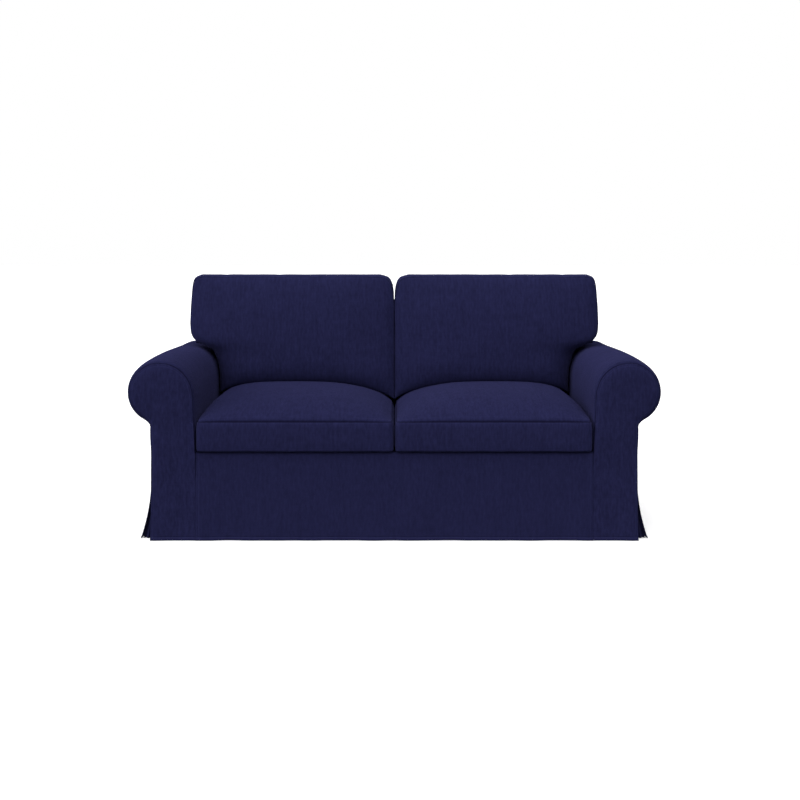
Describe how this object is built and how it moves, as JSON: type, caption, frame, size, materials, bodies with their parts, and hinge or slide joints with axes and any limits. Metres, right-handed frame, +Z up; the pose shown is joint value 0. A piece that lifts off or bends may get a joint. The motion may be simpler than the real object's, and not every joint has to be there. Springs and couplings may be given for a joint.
{
  "type": "sofa slipcover",
  "caption": "Fitted cloth cover for a low two-seat sofa, with rolled arms, a skirt to the floor that opens in kick pleats at the front corners, and loose seat and back cushions",
  "frame": {"origin": "on the floor, in the middle of the cover's footprint", "axes": "+Z up, the cover's front faces -Y, +X is to the right of someone who looks at its front"},
  "size_m": [1.7996, 0.88, 0.884],
  "materials": {
    "navy_cloth": "matte",
    "cushion_cloth": "matte"
  },
  "bodies": {
    "root": {"front_skirt": "navy_cloth", "arm_front_left": "navy_cloth", "arm_front_right": "navy_cloth", "arm_roll_left": "navy_cloth", "arm_roll_right": "navy_cloth", "side_skirt_left": "navy_cloth", "side_skirt_right": "navy_cloth", "pleat_insert_left": "navy_cloth", "pleat_insert_right": "navy_cloth", "seat_deck": "navy_cloth", "inner_back": "navy_cloth", "back_boxing": "navy_cloth", "outer_back": "navy_cloth", "seat_cushion_left": "cushion_cloth", "seat_cushion_right": "cushion_cloth", "back_cushion_left": "cushion_cloth", "back_cushion_right": "cushion_cloth"}
  },
  "joints": []
}
